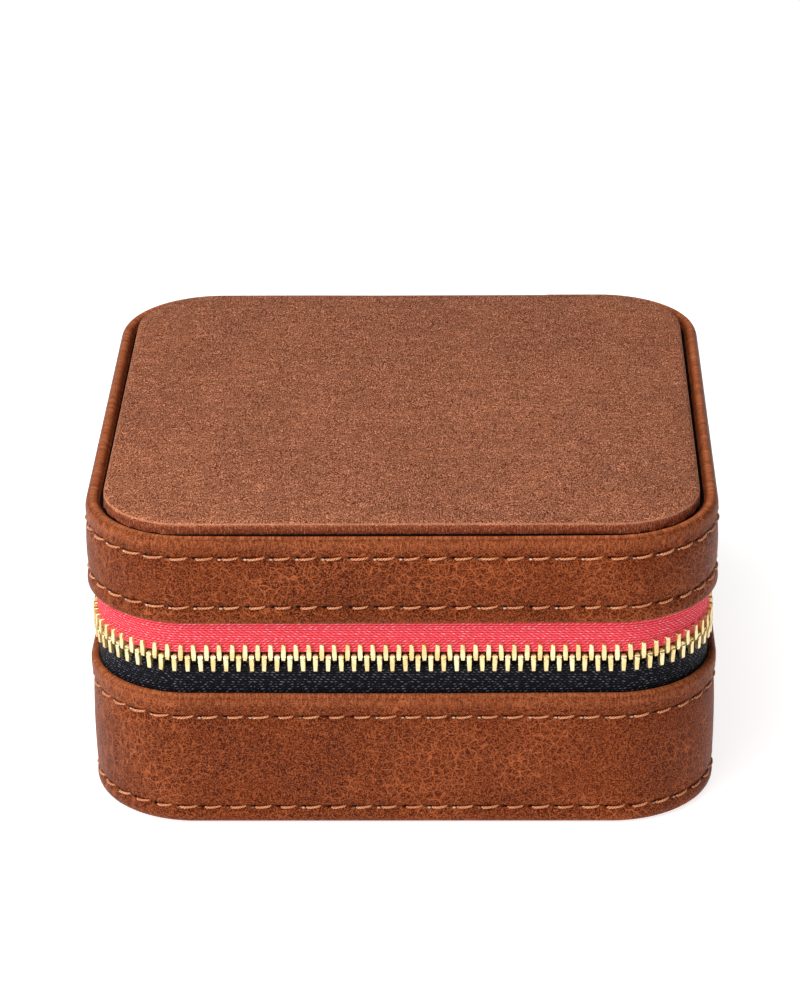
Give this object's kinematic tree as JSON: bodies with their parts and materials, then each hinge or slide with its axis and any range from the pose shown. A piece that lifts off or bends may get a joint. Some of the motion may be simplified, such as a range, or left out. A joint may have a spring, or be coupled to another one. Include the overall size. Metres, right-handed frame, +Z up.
{
  "type": "leather jewellery case",
  "caption": "Square zipped leather jewellery case with a padded lid on a leather spine, ring rolls, divided compartments and a lid mirror.",
  "frame": {"origin": "middle of the underside, on the plane that the case rests on", "axes": "+Z up through the lid; the front, opposite the leather spine, faces -Y; +X to the right seen from the front"},
  "size_m": [0.1004, 0.1033, 0.0522],
  "materials": {
    "side_leather": "waxed, glossy, fine crackle",
    "top_leather": "matt, fine creased grain",
    "card": "plain grey-brown card",
    "base_suede": "soft short nap, navy",
    "lid_suede": "soft short nap, coral red",
    "coral_tape": "woven tape",
    "navy_tape": "woven tape",
    "zip_brass": "polished pale brass",
    "thread": "twisted waxed thread",
    "foam": "fine foam",
    "mirror": "polished"
  },
  "bodies": {
    "base": {"base_band": "side_leather", "base_bottom_panel": "side_leather", "base_floor_board": "card", "base_wall_board": "card", "base_collar": "card", "base_wall_lining": "base_suede", "base_floor_lining": "base_suede", "base_stitching_low": "thread", "base_stitching_high": "thread", "ring_bed": "base_suede", "ring_roll_1": "base_suede", "ring_roll_2": "base_suede", "ring_roll_3": "base_suede", "long_divider": "base_suede", "cross_divider": "base_suede", "zip_tape_lower": "navy_tape", "zip_teeth_lower": "zip_brass", "zip_stop_closed_lower": "zip_brass", "zip_stop_open": "zip_brass", "hinge_spine": "side_leather", "hinge_tape": "navy_tape", "hinge_stitching_base": "thread"},
    "lid": {"hinge_stitching_lid": "thread", "lid_band": "side_leather", "lid_wall_board": "card", "lid_top_board": "card", "lid_collar": "card", "lid_wall_lining": "lid_suede", "lid_ceiling_lining": "lid_suede", "lid_top_panel": "top_leather", "lid_pad_foam": "foam", "lid_stitching_low": "thread", "lid_stitching_high": "thread", "mirror_frame": "side_leather", "mirror_glass": "mirror", "zip_tape_upper": "coral_tape", "zip_teeth_upper": "zip_brass", "zip_stop_closed_upper": "zip_brass"},
    "slider": {"slider_body": "zip_brass"},
    "link": {"pull_link": "zip_brass"},
    "tab": {"pull_tab": "side_leather"}
  },
  "joints": [
    {"name": "lid_hinge", "type": "hinge", "parent": "base", "child": "lid", "pos_m": [0, 0.04935, 0.02925], "axis": [-1, 0, 0], "range_deg": [0, 95], "deforming": ["hinge_spine", "hinge_tape", "zip_tape_upper", "zip_teeth_upper"]},
    {"name": "zip_slider_travel", "type": "hinge", "parent": "base", "child": "slider", "pos_m": [0.033, 0.033, 0.02925], "axis": [0, 0, -1], "range_deg": [0, 90], "deforming": ["zip_teeth_lower"]},
    {"name": "pull_swing", "type": "hinge", "parent": "slider", "child": "link", "pos_m": [0.0303, 0.05157, 0.02925], "axis": [0, 1, 0], "range_deg": [-40, 40]},
    {"name": "tab_lift", "type": "hinge", "parent": "link", "child": "tab", "pos_m": [0.0303, 0.05157, 0.02165], "axis": [1, 0, 0], "range_deg": [0, 90]}
  ]
}
